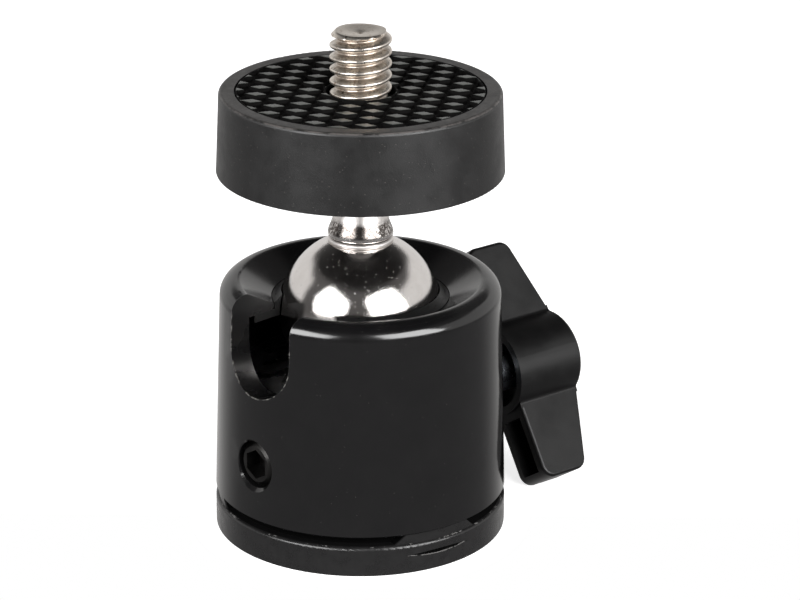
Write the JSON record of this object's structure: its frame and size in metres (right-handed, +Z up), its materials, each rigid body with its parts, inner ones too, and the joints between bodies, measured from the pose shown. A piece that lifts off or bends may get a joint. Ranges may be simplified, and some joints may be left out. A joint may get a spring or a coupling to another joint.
{
  "type": "tripod ball head",
  "caption": "Small ball head: a round camera platform on a chromed ball and stud, held in a notched round housing and clamped by a side wing knob, with a tripod socket below.",
  "frame": {"origin": "centre of the tripod socket's mouth, in the middle of the base face", "axes": "+Z up along the ball and the camera screw, +X out along the knob's bolt, -X out through the drop notch's side (its middle is 5.9 degrees round toward -Y)"},
  "size_m": [0.0422, 0.0306, 0.0538],
  "materials": {
    "housing_paint": "glossy black paint",
    "plug_paint": "semi-gloss black paint",
    "zinc_steel": "bright zinc",
    "black_oxide": "black oxide",
    "seat_plastic": "black moulded",
    "bare_aluminium": "turned",
    "spring_steel": "spring steel",
    "white_nylon": "natural nylon",
    "chrome": "mirror",
    "nickel": "nickel plate",
    "platform_plastic": "fine matte grain",
    "pad_rubber": "glossy woven relief",
    "brass": "turned",
    "knob_plastic": "satin black moulded"
  },
  "bodies": {
    "root": {"housing": "housing_paint", "base_plug": "plug_paint", "tripod_insert": "zinc_steel", "seat_adjusting_screw": "black_oxide", "upper_seat_ring": "seat_plastic", "seat_washer": "spring_steel"},
    "seat": {"lower_seat": "bare_aluminium"},
    "liner": {"ball_liner": "white_nylon"},
    "ball": {"ball": "chrome"},
    "head": {"stud": "chrome", "camera_screw": "nickel", "camera_platform": "platform_plastic", "platform_pad": "pad_rubber"},
    "bolt_tip": {"bolt_tip_pad": "brass"},
    "knob": {"clamp_bolt": "zinc_steel", "wing_knob": "knob_plastic"}
  },
  "joints": [
    {"name": "side_tilt", "type": "hinge", "parent": "root", "child": "liner", "pos_m": [0, 0, 0.0234], "axis": [0.9947, 0.1028, 0], "range_deg": [-35, 35]},
    {"name": "drop_tilt", "type": "hinge", "parent": "liner", "child": "ball", "pos_m": [0, 0, 0.0234], "axis": [-0.1028, 0.9947, 0], "range_deg": [-90, 35]},
    {"name": "head_spin", "type": "hinge", "parent": "ball", "child": "head", "pos_m": [0, 0, 0.0234], "axis": [0, 0, 1], "continuous": true},
    {"name": "knob_turn", "type": "hinge", "parent": "bolt_tip", "child": "knob", "pos_m": [0.01795, 0, 0.0122], "axis": [1, 0, 0], "range_deg": [0, 720]},
    {"name": "bolt_travel", "type": "slide", "parent": "root", "child": "bolt_tip", "axis": [1, 0, 0], "range_m": [0, 0.0016]},
    {"name": "seat_lift", "type": "slide", "parent": "root", "child": "seat", "axis": [0, 0, 1], "range_m": [-0.0003, 0]}
  ],
  "couplings": [
    {"joint": "knob_turn", "follows": "bolt_travel", "rad_per_m": 7854},
    {"joint": "seat_lift", "follows": "bolt_travel", "ratio": -0.1875}
  ]
}
